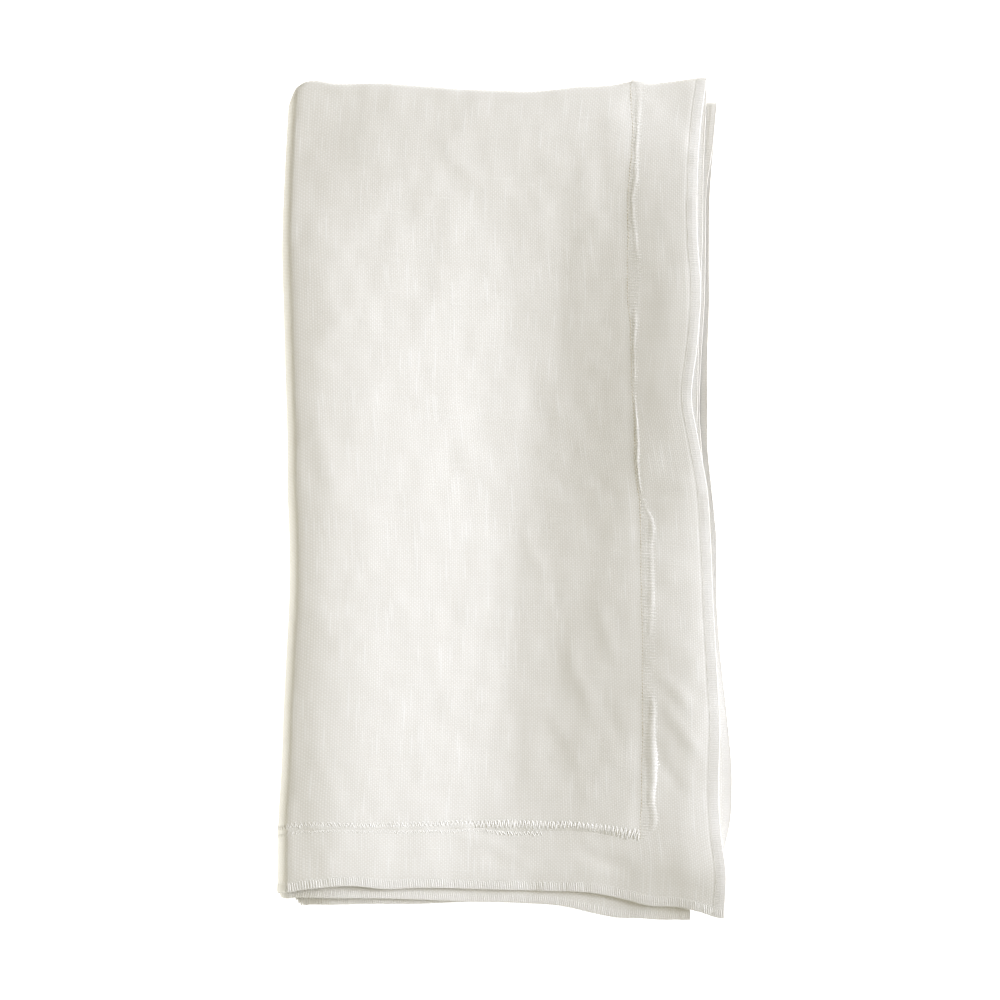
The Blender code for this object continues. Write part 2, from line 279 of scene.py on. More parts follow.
def flatter(across):
    """The distance in from the outer fold, with the fold's roundness drawn in toward its edge."""
    roll = np.clip(across / OUTER_R, 0.0, FLATTEN[1])
    drawn_in = np.where(roll < 1, roll, 1 - smooth((roll - 1) / (FLATTEN[1] - 1)))
    return across - (1 - FLATTEN[0]) * drawn_in * OUTER_R


def pack(u, v):
    """Where the middle of the cloth lies in the folded napkin, in metres, for arrays of u and v."""
    x0, y0, level, x_pair, nest = folded(u, v)
    x0, x_pair = flatter(x0), flatter(x_pair)
    yn = (y0 / TALL - 0.5) * 253.0
    xn = x_pair * 1000 - 67.5
    left = curve(SIDES, 1, yn)
    factor = [(curve(SIDES, c, yn) - left) / (1000 * r) for c, r in zip((5, 4, 3, 2), REACH)]
    low = (curve(SIDES, 6, yn) - left) / (1000 * REACH_LOW)
    x = left + 1000 * x0 * by_layer(low, factor, level, nest)

    top = by_layer(curve(TOPS, 3, xn), [curve(TOPS, c, xn) for c in (2, 2, 1, 1)], level, nest)
    foot = by_layer(curve(HEMS, 5, xn), [curve(HEMS, c, xn) for c in (4, 3, 2, 1)], level, nest)
    y = foot + (top - foot) * y0 / TALL

    stretch = 1 + relief(x, y) / 11.5
    high = level * PITCH * 1000 * stretch
    at_side = smooth((x - GATHER[0]) / (GATHER[1] - GATHER[0]))
    at_foot = smooth((y - FOOT_GATHER[0]) / (FOOT_GATHER[1] - FOOT_GATHER[0])) * smooth((x + 62.0) / 8.0)
    out = (1 - (1 - at_side) * (1 - at_foot)) * smooth(level - 3.0)
    wave = 1 + 0.22 * noise(y / 31.0 + 7.3, level * 0 + 2.0, 1)
    high = high + out * wave * (GATHER[2] - GATHER[3] * np.maximum(level - 4.0, 0.0))
    sink = smooth((x - DROOP[0]) / (DROOP[1] - DROOP[0])) * np.clip(7.0 - level, 0.0, 3.0) / 3.0
    high = high - DROOP[2] * sink * smooth(level - 3.0)
    upper = smooth((level - 5.4) / 1.4)
    soft = 0.10 * noise(x / 8.5, y / 11.0, 2) + 0.07 * noise(x / 4.2 + 9, y / 5.0 + 3, 3)
    high = high + upper * (small_creases(x, y) + soft)
    beside = smooth((level - 6.5) / 0.3) * (v < 0) * (u > 0)
    high = high - beside * TUCK_GROOVE * smooth((y + 106.0) / 5.0) * np.exp(-(((x - curve(TUCK_DOWN, 1, y) + 0.7) / 1.0) ** 2))
    below = smooth((x + 5.0) / 8.0) * smooth((43.0 - x) / 4.0)
    high = high - beside * TUCK_GROOVE * below * np.exp(-(((y - curve(TUCK_OVER, 1, x) + 0.5) / 0.9) ** 2))
    inward = (CUT_WIDE / 2 - np.abs(u)) * 1000
    high = high - 1000 * GROOVE * np.exp(-(((inward - 3.4) / 0.45) ** 2))
    return np.stack([x, y, high], axis=-1) / 1000 + np.array([0, 0, FLOOR_GAP])


def surface(u, v, side=1.0, lift=0.0):
    """Point on the cloth with the directions across it: the place lifted off the middle along the
    side's normal, and the unit directions of growing u, of growing v and of the normal."""
    step = 0.00025
    u_in = np.where(u > CUT_WIDE / 2 - step, u - step, u)
    v_in = np.where(v > CUT_TALL / 2 - step, v - step, v)
    here = pack(u, v)
    du = pack(u_in + step, v) - pack(u_in, v)
    dv = pack(u, v_in + step) - pack(u, v_in)
    du /= np.linalg.norm(du, axis=-1, keepdims=True)
    n = np.cross(du, dv)
    n /= np.linalg.norm(n, axis=-1, keepdims=True)
    dv = np.cross(n, du)
    lift = np.asarray(lift, float)[..., None]
    return here + n * lift * side, du, dv, n * side


# ---------------------------------------------------------------- meshes
def new_mesh(name, points, faces, uv=None, uv_name="Weave", flat_edges=None):
    """A mesh object from arrays: points (n,3), faces (m,k), and a place on the flat cloth for each point."""
    mesh = bpy.data.meshes.new(name)
    mesh.vertices.add(len(points))
    mesh.vertices.foreach_set("co", np.ascontiguousarray(points, np.float32).ravel())
    k = faces.shape[1]
    mesh.loops.add(faces.size)
    mesh.loops.foreach_set("vertex_index", np.ascontiguousarray(faces, np.int32).ravel())
    mesh.polygons.add(len(faces))
    mesh.polygons.foreach_set("loop_start", np.arange(0, faces.size, k, dtype=np.int32))
    mesh.polygons.foreach_set("loop_total", np.full(len(faces), k, np.int32))
    mesh.update(calc_edges=True)
    if uv is not None:
        layer = mesh.uv_layers.new(name=uv_name)
        corners = uv[faces.ravel()] if len(uv) == len(points) else uv
        layer.data.foreach_set("uv", np.ascontiguousarray(corners, np.float32).ravel())
    mesh.validate()
    mesh.shade_smooth()
    obj = bpy.data.objects.new(name, mesh)
    bpy.context.scene.collection.objects.link(obj)
    return obj


def run(*parts):
    line = [np.array([parts[0][0]])] + [np.linspace(a, b, n + 1)[1:] for a, b, n in parts]
    return np.concatenate(line)


def across(v):
    """Places across the cloth at height v; see the note on the solid: each row has equally many,
    at the same angle in each turn. The panel that shows gets the most."""
    r1 = PITCH / 2
    r2 = PITCH + half_turn(v + np.pi * r1 / 2, r1)[2]
    start = QUARTER + np.pi * r2 / 2
    end_hem = CUT_WIDE / 2 - start
    shown = start + run((0, end_hem - 0.0050, 78), (end_hem - 0.0050, end_hem - 0.0024, 9), (end_hem - 0.0024, end_hem, 3))
    hidden = start + run((0, end_hem - 0.0050, 26), (end_hem - 0.0050, end_hem - 0.0024, 6), (end_hem - 0.0024, end_hem, 2))
    halves = []
    for r3, steps, hem, low in ((2 * PITCH - r2, 10, hidden, 26), (2 * PITCH + r2, 14, shown, 28)):
        end = start - np.pi * r3
        panel = np.linspace(np.pi * r2 / 2, end, low + 1)
        halves.append(np.concatenate([panel, np.linspace(end, start, steps + 1)[1:], hem[1:]]))
    crease = np.linspace(-np.pi * r2 / 2, np.pi * r2 / 2, 13)[1:-1]
    return np.concatenate([-halves[0][::-1], crease, halves[1]])


def upward():
    turn = np.pi * PITCH / 4
    edge = CUT_TALL / 2
    front = run((-edge, -edge + 0.004, 4), (-edge + 0.004, -turn, 156))
    rear = run((turn, edge - 0.004, 40), (edge - 0.004, edge, 3))
    return np.concatenate([front, np.linspace(-turn, turn, 9)[1:-1], rear])


def make_cloth():
    vs = upward()
    us = np.array([across(v) for v in vs])
    rows, columns = us.shape
    v_all = np.repeat(vs, columns)
    middle, du, dv, n = surface(us.ravel(), v_all)
    # the cut edge is closed by a rim of faces between the two sides
    off = CLOTH / 2
    index = np.arange(rows * columns).reshape(rows, columns)
    quad = np.stack([index[:-1, :-1], index[:-1, 1:], index[1:, 1:], index[1:, :-1]], -1).reshape(-1, 4)
    count = rows * columns
    under = quad[:, ::-1] + count
    rim = []
    ring = np.concatenate([index[0, :], index[1:, -1], index[-1, -2::-1], index[-2:0:-1, 0]])
    nxt = np.roll(ring, -1)
    rim = np.stack([ring, ring + count, nxt + count, nxt], -1)
    points = np.concatenate([middle + n * off, middle - n * off])
    flat = np.stack([us.ravel(), v_all], -1)
    cloth = new_mesh("napkin_cloth", points, np.concatenate([quad, under, rim]), np.concatenate([flat, flat]))
    cloth.data.set_sharp_from_angle(angle=np.radians(60))
    return cloth


def tubes(name, paths, radius, sides, side_dir, place_flat, flat=1.0):
    """Many short threads in one mesh. paths is (threads, points, 3); side_dir is the same shape and
    points roughly sideways; radius is a number or (threads, points), and flat is how high a thread
    is for its width."""
    count, length = paths.shape[:2]
    ahead = np.gradient(paths, axis=1)
    ahead /= np.linalg.norm(ahead, axis=-1, keepdims=True) + 1e-12
    b = np.cross(ahead, side_dir)
    b /= np.linalg.norm(b, axis=-1, keepdims=True) + 1e-12
    a = np.cross(b, ahead)
    angle = np.arange(sides) / sides * 2 * np.pi
    r = np.broadcast_to(radius, (count, length))[..., None, None]
    ring = paths[:, :, None, :] + r * (np.cos(angle)[:, None] * a[:, :, None, :] + flat * np.sin(angle)[:, None] * b[:, :, None, :])
    points = ring.reshape(-1, 3)
    base = np.arange(count * length * sides).reshape(count, length, sides)
    nxt = np.roll(base, -1, axis=2)
    wall = np.stack([base[:, :-1], nxt[:, :-1], nxt[:, 1:], base[:, 1:]], -1).reshape(-1, 4)
    # ends are closed with a fan of triangles, written as four-cornered faces where the count allows
    faces = [wall]
    caps = []
    for end, order in ((0, -1), (length - 1, 1)):
        loop = base[:, end, ::order]
        for k in range(1, sides - 1, 2):
            last = min(k + 2, sides - 1)
            if last == k + 1:
                caps.append(loop[:, [0, k, k + 1]])
            else:
                faces.append(loop[:, [0, k, k + 1, k + 2]])
    seen = np.broadcast_to(place_flat[:, :, None, :], (count, length, sides, 2)).reshape(-1, 2)
    return thread_mesh(name, points, np.concatenate(faces), np.concatenate(caps) if caps else None, seen)


def thread_mesh(name, points, quads, triangles, uv):
    mesh = bpy.data.meshes.new(name)
    mesh.vertices.add(len(points))
    mesh.vertices.foreach_set("co", np.ascontiguousarray(points, np.float32).ravel())
    corners = quads.ravel()
    starts = np.arange(0, quads.size, 4)
    totals = np.full(len(quads), 4)
    if triangles is not None:
        starts = np.concatenate([starts, quads.size + np.arange(0, triangles.size, 3)])
        totals = np.concatenate([totals, np.full(len(triangles), 3)])
        corners = np.concatenate([corners, triangles.ravel()])
    mesh.loops.add(len(corners))
    mesh.loops.foreach_set("vertex_index", corners.astype(np.int32))
    mesh.polygons.add(len(totals))
    mesh.polygons.foreach_set("loop_start", starts.astype(np.int32))
    mesh.polygons.foreach_set("loop_total", totals.astype(np.int32))
    mesh.update(calc_edges=True)
    layer = mesh.uv_layers.new(name="Weave")
    layer.data.foreach_set("uv", np.ascontiguousarray(uv[corners], np.float32).ravel())
    mesh.validate()
    mesh.shade_smooth()
    obj = bpy.data.objects.new(name, mesh)
    bpy.context.scene.collection.objects.link(obj)
    return obj


# ---------------------------------------------------------------- overlocked hems
def hem_side(name, edge, seed):
    """The overlock stitches of one side of the cloth. edge gives the flat place for a distance in from
    the cut edge and a distance along it."""
    rng = np.random.default_rng(seed)
    upright = edge in ("right", "left")
    length, step = (CUT_TALL, HEM_STEP_SIDE) if upright else (CUT_WIDE, HEM_STEP_FOOT)
    count = int(length / step)
    s = (np.arange(count) + 0.5) / count * length - length / 2
    s = s + rng.normal(0, 0.00003, count)
    deep = HEM_WIDE * (1 + 0.04 * np.sin(s / 0.011) + rng.normal(0, 0.04, count))
    r = HEM_FLAT * (0.6 if upright else 1.9 if edge == "foot" else 2.5)
    top = CLOTH / 2 - r * 0.35
    # distance in from the edge as a share of the band, height, and slant along the edge
    form = [(1.0, CLOTH / 2 - r, 0.0), (0.88, top, 0.05), (0.5, top + 0.00003, 0.25), (0.10, top, 0.42),
            (-0.04, 0.0, 0.5), (0.10, -top, 0.58), (0.6, -top, 0.85), (1.0, -CLOTH / 2 + r, 1.0)]
    slant = rng.normal(0, 0.00005, count)
    paths, sides, flats = [], [], []
    for share, high, along in form:
        d = share * deep
        t = s + along * step + slant * share
        inside = np.maximum(d, 0.0)
        half_w, half_t = CUT_WIDE / 2, CUT_TALL / 2
        if edge == "right":
            u, v, out = half_w - inside, t, 0
        elif edge == "left":
            u, v, out = -half_w + inside, t, 0
        elif edge == "foot":
            u, v, out = t, -half_t + inside, 1
        else:
            u, v, out = t, half_t - inside, 1
        u = np.clip(u, -half_w, half_w)
        v = np.clip(v, -half_t, half_t)
        place, du, dv, n = surface(u, v, 1.0, np.full(count, high))
        sign = {"right": 1, "left": -1, "foot": -1, "head": 1}[edge]
        outward = (du if out == 0 else dv) * sign
        place = place + outward * np.maximum(-d, 0.0)[:, None]
        paths.append(place)
        sides.append(dv if out == 0 else du)
        flats.append(np.stack([u, v], -1))
    paths, sides, flats = (np.stack(k, axis=1) for k in (paths, sides, flats))
    wide = step * 0.52
    swell = wide * (1 + rng.normal(0, 0.09, (count, 1)))
    band = tubes(name, paths, np.broadcast_to(swell, paths.shape[:2]), 5, sides, flats, r / wide)
    band.data.shade_flat()
    return band


def chain_line(name, edge, seed, deep=HEM_WIDE + 0.00005, radius=0.00010, step=0.0006):
    """The needle thread that locks the stitches' inner ends, one long thread along the edge."""
    rng = np.random.default_rng(seed)
    length = CUT_TALL if edge in ("right", "left") else CUT_WIDE
    count = int(length / step)
    s = np.linspace(-length / 2 + 0.001, length / 2 - 0.001, count)
    wave = 0.00008 * noise(s / 0.006, s * 0 + seed, 4)
    d = deep + wave
    half_w, half_t = CUT_WIDE / 2, CUT_TALL / 2
    u, v = {"right": (half_w - d, s), "left": (-half_w + d, s), "foot": (s, -half_t + d), "head": (s, half_t - d)}[edge]
    place, du, dv, n = surface(u, v, 1.0, np.full(count, CLOTH / 2 - radius * 0.45))
    side = du if edge in ("right", "left") else dv
    flat = np.stack([u, v], -1)
    return tubes(name, place[None], radius, 5, side[None], flat[None])


# ---------------------------------------------------------------- the sewn tuck
# Down the pack: y, left side of the tuck, right side, height, and where its crest lies across it
# (0 left, 1 right). Millimetres.
TUCK_DOWN = [
    (128.5, 38.9, 44.1, 0.26, 0.45),
    (123.0, 38.9, 44.0, 0.26, 0.45),
    (119.0, 39.2, 43.2, 0.28, 0.50),
    (115.4, 39.5, 42.7, 0.29, 0.45),
    (107.7, 39.2, 42.1, 0.29, 0.50),
    (98.0, 38.4, 41.9, 0.28, 0.60),
    (93.0, 38.0, 40.9, 0.28, 0.45),
    (86.0, 38.0, 41.3, 0.28, 0.55),
    (79.9, 38.0, 41.9, 0.26, 0.75),
    (73.0, 37.9, 42.5, 0.22, 0.85),
    (61.4, 38.0, 42.6, 0.21, 0.60),
    (55.0, 38.6, 42.0, 0.32, 0.40),
    (47.0, 38.9, 41.3, 0.27, 0.40),
    (36.0, 39.2, 41.2, 0.23, 0.40),
    (30.5, 39.4, 40.8, 0.27, 0.50),
    (24.0, 40.0, 41.5, 0.34, 0.50),
    (16.0, 40.0, 42.2, 0.34, 0.40),
    (8.0, 40.4, 42.0, 0.32, 0.50),
    (1.0, 41.4, 43.4, 0.23, 0.50),
    (-2.0, 41.8, 44.6, 0.22, 0.60),
    (-5.0, 41.8, 46.4, 0.29, 0.88),
    (-14.0, 42.0, 46.8, 0.29, 0.85),
    (-34.0, 42.3, 46.9, 0.30, 0.80),
    (-43.5, 42.6, 46.8, 0.20, 0.50),
    (-58.9, 42.6, 47.0, 0.20, 0.60),
    (-62.0, 42.6, 47.2, 0.32, 0.85),
    (-71.3, 42.6, 47.2, 0.38, 0.70),
    (-75.9, 42.6, 47.2, 0.44, 0.75),
    (-83.6, 42.3, 47.5, 0.44, 0.88),
    (-92.9, 42.3, 47.0, 0.41, 0.82),
    (-101.5, 41.9, 47.2, 0.24, 0.80),
    (-104.5, 41.8, 44.2, 0.12, 0.50),
    (-109.0, 42.2, 43.4, 0.06, 0.50),
]
# Across the pack: x, lower side, upper side, height, crest (0 lower, 1 upper).
TUCK_OVER = [
    (-69.0, -102.5, -99.0, 0.33, 0.58),
    (-62.0, -102.5, -99.2, 0.31, 0.60),
    (-50.0, -102.3, -99.6, 0.27, 0.60),
    (-36.0, -102.6, -99.7, 0.26, 0.60),
    (-20.0, -102.6, -99.4, 0.28, 0.62),
    (-7.6, -102.6, -99.2, 0.32, 0.64),
    (-1.4, -103.2, -99.0, 0.38, 0.68),
    (11.0, -103.3, -99.2, 0.42, 0.70),
    (26.0, -103.2, -99.8, 0.40, 0.65),
    (36.0, -104.6, -101.0, 0.34, 0.55),
    (41.5, -105.5, -101.6, 0.28, 0.50),
]


def top_place(x, y):
    """The flat place of a point of the top layer, given where it lies in the folded pack (mm)."""
    y0 = np.full_like(x, TALL * 0.5)
    for _ in range(3):
        yn = (y0 / TALL - 0.5) * 253.0
        left = curve(SIDES, 1, yn)
        factor = (curve(SIDES, 2, yn) - left) / (1000 * REACH[3])
        x0 = (x - left) / factor / 1000
        xn = x0 * 1000 - 67.5
        foot, top = curve(HEMS, 1, xn), curve(TOPS, 1, xn)
        y0 = np.clip((y - foot) / (top - foot), 0, 1) * TALL
    u = x0 - OUTER_R + QUARTER + 0.75 * np.pi * PITCH
    turn = np.pi * PITCH / 2
    v = y0 - turn / 2 - (CUT_TALL / 2 - turn / 2)
    return u, v


def bump_at(across, crest):
    """Height share of the tuck's section, 0 to 1, for places -1 to 1 across it."""
    lean = (crest - 0.5) * 1.1
    bent = np.clip(across - lean * (1 - across ** 2), -1, 1)
    return np.sqrt(np.clip(1 - bent ** 2, 0, 1)) * (0.62 + 0.38 * np.cos(bent * np.pi / 2) ** 2)


def tuck_ridge(name, u, v, up_the_cloth, data, step, seed):
    """The rolled ridge of cloth, drawn in a little at each stitch. u and v follow its middle; data is
    its width, height and crest along it."""
    width, height, crest = data
    place, du, dv, n = surface(u, v)
    side = du if up_the_cloth else dv
    s = np.concatenate([[0], np.cumsum(np.linalg.norm(np.diff(place, axis=0), axis=1))])
    cinch = 1 - 0.10 * (0.5 + 0.5 * np.cos(2 * np.pi * s / step)) ** 2
    lump = 1 + 0.12 * noise(s / 0.005, s * 0 + seed, 6)
    w = (width / 2 * cinch)[:, None]
    h = (height * lump * (0.7 + 0.3 * cinch))[:, None]
    over = np.array([-1.0, -0.93, -0.75, -0.5, -0.25, 0.0, 0.25, 0.5, 0.75, 0.93, 1.0])[None]
    base = CLOTH / 2 - 0.0002
    x_off = np.concatenate([w * over, w * 0.7, w * -0.7], axis=1)
    rise = bump_at(over, crest[:, None]) * h
    z_off = np.concatenate([base + rise, np.full_like(w, base - 0.0001), np.full_like(w, base - 0.0001)], axis=1)
    points = place[:, None] + side[:, None] * x_off[..., None] + n[:, None] * z_off[..., None]
    stretch_off = x_off * 1.4
    flat_u = u[:, None] + stretch_off * up_the_cloth
    flat_v = v[:, None] + stretch_off * (1 - up_the_cloth)
    count, profile = x_off.shape
    index = np.arange(count * profile).reshape(count, profile)
    nxt = np.roll(index, -1, axis=1)
    wall = np.stack([index[:-1], nxt[:-1], nxt[1:], index[1:]], -1).reshape(-1, 4)
    first, last = index[0, ::-1], index[-1]
    caps = [[loop[k], loop[k + 1], loop[-2 - k], loop[-1 - k]] for loop in (first, last) for k in range(0, profile // 2 - 1)]
    faces = np.concatenate([wall, np.array(caps)])
    ahead = np.cross(n, side)
    if np.mean(np.sum(ahead[1:] * np.diff(place, axis=0), axis=1)) > 0:
        faces = faces[:, ::-1]
    return new_mesh(name, points.reshape(-1, 3), faces, np.stack([flat_u, flat_v], -1).reshape(-1, 2))


def tuck_strokes(name, u, v, up_the_cloth, data, span, step, zigzag, radius, seed, keep=None):
    """Short threads over the ridge: from span's first share to its second across it, one to each
    step. A zigzag goes there and back in one step; otherwise each is a bar with hooked ends."""
    rng = np.random.default_rng(seed)
    width, height, crest = data
    place, du, dv, n = surface(u, v)
    side = du if up_the_cloth else dv
    s = np.concatenate([[0], np.cumsum(np.linalg.norm(np.diff(place, axis=0), axis=1))])
    pitch = step / 2 if zigzag else step
    starts = (np.arange(int(s[-1] / pitch)) + 0.5) * pitch
    if keep is not None:
        starts = starts[np.interp(starts, s, keep) > 0.5]
    count = len(starts)
    share = np.linspace(0, 1, 10)[None]
    if zigzag:
        stroke_s = starts[:, None] + (share - 0.5) * pitch * 0.9
        flip = (np.arange(count) % 2 == 0)[:, None]
    else:
        hook = 0.42 * step * (np.abs(share - 0.5) * 2) ** 3 * np.sign(share - 0.5)
        stroke_s = starts[:, None] + hook
        flip = np.ones((count, 1), bool)
    stroke_s = stroke_s + rng.normal(0, 0.06 * step, (count, 1))
    at = lambda q: np.interp(stroke_s, s, q)
    at3 = lambda q: np.stack([np.interp(stroke_s, s, q[:, k]) for k in range(3)], -1)
    first, last = at(span[0]), at(span[1])
    cross = np.where(flip, first + (last - first) * share, last + (first - last) * share)
    cross = cross + rng.normal(0, 0.035, (count, 1)) + rng.normal(0, 0.02, (count, 1)) * (share - 0.5)
    half = at(width) / 2
    rise = bump_at(np.clip(2 * cross - 1, -1, 1), at(crest)) * at(height)
    z_off = np.maximum(CLOTH / 2 - 0.0002 + rise, CLOTH / 2) - radius * 0.2
    ends = np.clip(1 - np.minimum(share, 1 - share) / 0.12, 0, 1)
    z_off = z_off - ends * radius * 1.6
    p = at3(place) + at3(side) * ((2 * cross - 1) * half)[..., None] + at3(n) * z_off[..., None]
    along = at3(np.gradient(place, axis=0))
    along /= np.linalg.norm(along, axis=-1, keepdims=True)
    size = radius * (1 + rng.normal(0, 0.10, (count, 1))) * (1 - 0.35 * ends)
    return tubes(name, p, size, 6, along, np.stack([at(u), at(v)], -1), 0.50)


def tuck_seam(name, u, v, width, step, radius):
    """The needle line along the left of the tuck, one long thread that the stitches dip to."""
    place, du, dv, n = surface(u - width * 0.5, v, 1.0, np.full(len(u), CLOTH / 2 - radius * 0.3))
    s = np.concatenate([[0], np.cumsum(np.linalg.norm(np.diff(place, axis=0), axis=1))])
    size = radius * (0.72 + 0.28 * np.cos(2 * np.pi * s / step))
    return tubes(name, place[None], size[None], 6, du[None], np.stack([u, v], -1)[None], 0.6)


def make_tucks():
    pieces = []
    # down the pack on the top layer, then over the first crease
    y = np.linspace(-105.0, 128.4, 1130)
    left, right, high, crest = (curve(TUCK_DOWN, k, y) for k in range(1, 5))
    u, v = top_place((left + right) / 2 + 0.10 * noise(y / 3.1, y * 0 + 1, 7), y)
    turn = np.pi * PITCH / 4
    keep = v < -turn
    tail = np.linspace(-turn, turn + 0.004, 40)
    held = lambda q: np.concatenate([q[keep], np.full(len(tail), q[keep][-1])])
    press = np.concatenate([np.ones(keep.sum()), 1 - 0.6 * smooth((tail + turn) / 0.004)])
    u, v = held(u), np.concatenate([v[keep], tail])
    data = (held(right - left) / 1000, held(high) / 1000 * press, held(crest))
    pieces.append(tuck_ridge("tuck_down", u, v, 1, data, TUCK_STEP_DOWN, 11))
    whole = (np.full(len(u), -0.04), np.full(len(u), 1.04))
    pieces.append(tuck_strokes("tuck_down_thread", u, v, 1, data, whole, TUCK_STEP_DOWN, False, 0.00012, 12))
    # the needle line is a real thread; its dark colour is painted shade of the groove
    pieces.append(tuck_seam("tuck_down_seam_painted_shade", u, v, data[0], TUCK_STEP_DOWN, 0.00020))

    # across the pack on the top layer, round the outer fold, and a little way on underneath
    x = np.linspace(41.5, -62.0, 520)
    low, up, high, crest = (curve(TUCK_OVER, k, x) for k in range(1, 5))
    u, v = top_place(x, (low + up) / 2 + 0.08 * noise(x / 3.3, x * 0 + 5, 7))
    rest = np.arange(u[-1], QUARTER - 0.020, -0.00022)[1:]
    on = lambda q: np.concatenate([q, np.full(len(rest), q[-1])])
    flat_under = smooth((QUARTER - np.pi * OUTER_R * 0.30 - rest) / 0.005)   # pressed flat where it is lain on
    u, v = np.concatenate([u, rest]), on(v)
    height = np.concatenate([high, high[-1] * (1 - 0.93 * flat_under)]) / 1000
    data = (on(up - low) / 1000, height, on(crest))
    pieces.append(tuck_ridge("tuck_across", u, v, 0, data, TUCK_STEP_OVER, 21))
    bold = smooth((on(x) + 16.0) / 14.0)           # the right half's stitches stand out
    above = np.concatenate([np.ones(len(x)), flat_under < 0.2])
    low_end = np.where(on(x) > -9.0, 0.33 * (1 - smooth((on(x) - 20.0) / 14.0)), 0.55)
    pieces.append(tuck_strokes("tuck_across_thread", u, v, 0, data, (low_end, np.full(len(u), 1.06)),
                               TUCK_STEP_OVER, True, 0.00027, 22, bold))
    pieces.append(tuck_strokes("tuck_across_fine_thread", u, v, 0, data, (np.full(len(u), 0.52), np.full(len(u), 1.10)),
                               TUCK_STEP_OVER, True, 0.00021, 23, above * (bold < 0.5)))
    pieces.append(tuck_strokes("tuck_across_lower_thread", u, v, 0, data, (np.full(len(u), -0.10), np.full(len(u), 0.20)),
                               TUCK_STEP_OVER, True, 0.00018, 24, above * (on(x) < 12.0)))
    return pieces


# ---------------------------------------------------------------- materials
class Nodes:
    """Short names for making shader nodes."""

    def __init__(self, material):
        material.use_nodes = True
        self.tree = material.node_tree
        self.tree.nodes.clear()

    def add(self, kind, **sockets):
        node = self.tree.nodes.new(kind)
        for key, value in sockets.items():
            if hasattr(node, key) and key not in node.inputs:
                setattr(node, key, value)
            else:
                self.put(node.inputs[key], value)
        return node

    def put(self, socket, value):
        if isinstance(value, bpy.types.NodeSocket):
            self.tree.links.new(value, socket)
        else:
            socket.default_value = value

    def math(self, operation, *values, clamp=False):
        node = self.tree.nodes.new("ShaderNodeMath")
        node.operation = operation
        node.use_clamp = clamp
        for socket, value in zip(node.inputs, values):
            self.put(socket, value)
        return node.outputs[0]

    def ramp(self, value, low, high, out_low=0.0, out_high=1.0):
        node = self.tree.nodes.new("ShaderNodeMapRange")
        node.interpolation_type = "SMOOTHSTEP"
        for key, item in zip(("Value", "From Min", "From Max", "To Min", "To Max"), (value, low, high, out_low, out_high)):
            self.put(node.inputs[key], item)
        return node.outputs["Result"]

    def noise(self, vector, scale, detail=2.0, rough=0.5, dims="3D"):
        node = self.tree.nodes.new("ShaderNodeTexNoise")
        node.noise_dimensions = dims
        self.put(node.inputs["Vector"], vector)
        node.inputs["Scale"].default_value = scale
        node.inputs["Detail"].default_value = detail
        node.inputs["Roughness"].default_value = rough
        return node.outputs["Fac"]

    def xyz(self, x, y, z=0.0):
        node = self.tree.nodes.new("ShaderNodeCombineXYZ")
        for socket, value in zip(node.inputs, (x, y, z)):
            self.put(socket, value)
        return node.outputs[0]

    def mix(self, factor, a, b):
        node = self.tree.nodes.new("ShaderNodeMix")
        node.data_type = "RGBA"
        self.put(node.inputs[0], factor)
        self.put(node.inputs[6], a)
        self.put(node.inputs[7], b)
        return node.outputs[2]


def painted_hem_shade(n, uv, colour):
    """Painted shade: the hems that stick out from under the top one are painted a touch greyer, a soft band along both
    side hems, and more at their cut edge, but not on the quarter of the cloth that lies on top."""
    split = n.add("ShaderNodeSeparateXYZ", Vector=uv)
    x, y = split.outputs[0], split.outputs[1]
    # the soft band along the side hems: painted shade
    band = n.ramp(n.math("ABSOLUTE", x), CUT_WIDE / 2 - 0.014, CUT_WIDE / 2 - 0.007)
    top = n.math("MULTIPLY", n.math("GREATER_THAN", x, 0.0), n.math("LESS_THAN", y, -0.001))
    share = n.math("MULTIPLY", band, n.math("SUBTRACT", 1.0, top))
    node = n.tree.nodes.new("ShaderNodeMix")
    node.data_type, node.blend_type = "RGBA", "MULTIPLY"
    n.put(node.inputs[0], share)
    n.put(node.inputs[6], colour)
    n.put(node.inputs[7], (0.99, 0.985, 0.97, 1.0))
    # the cut edge itself: painted shade, darker still
    rim = n.ramp(n.math("ABSOLUTE", x), CUT_WIDE / 2 - 0.0006, CUT_WIDE / 2 - 0.0001)
    edge = n.tree.nodes.new("ShaderNodeMix")
    edge.data_type, edge.blend_type = "RGBA", "MULTIPLY"
    n.put(edge.inputs[0], n.math("MULTIPLY", rim, n.math("SUBTRACT", 1.0, top)))
    n.put(edge.inputs[6], node.outputs[2])
    n.put(edge.inputs[7], (0.84, 0.835, 0.82, 1.0))
    return edge.outputs[2]


WARP, WEFT = 0.00065, 0.000567      # thread spacings
# the lighter colour of the cloth, and the darker one, which is both the darker threads' own tone and painted shade
# between the threads
LIGHT = (0.900, 0.888, 0.840, 1.0)
DEEP_TONE_AND_GAP_SHADE = (0.800, 0.775, 0.705, 1.0)


